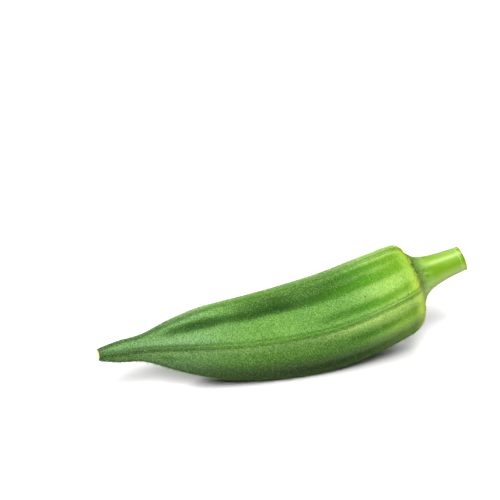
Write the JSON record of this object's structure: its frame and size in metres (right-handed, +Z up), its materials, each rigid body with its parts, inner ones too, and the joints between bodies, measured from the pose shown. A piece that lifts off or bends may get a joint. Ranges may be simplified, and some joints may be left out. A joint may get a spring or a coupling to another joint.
{
  "type": "okra pod",
  "caption": "Whole fresh okra pod, ridged and slightly bowed, tapering to a blunt tip, with its cap and a short cut stem, lying on its side.",
  "frame": {"origin": "on the surface the pod lies on, under the middle of its bounding box", "axes": "+X from the blunt tip towards the cut stem, +Z up, +Y across the pod"},
  "size_m": [0.0888, 0.022, 0.0261],
  "materials": {
    "pod_skin": "matte"
  },
  "bodies": {
    "root": {"okra_pod": "pod_skin"}
  },
  "joints": []
}
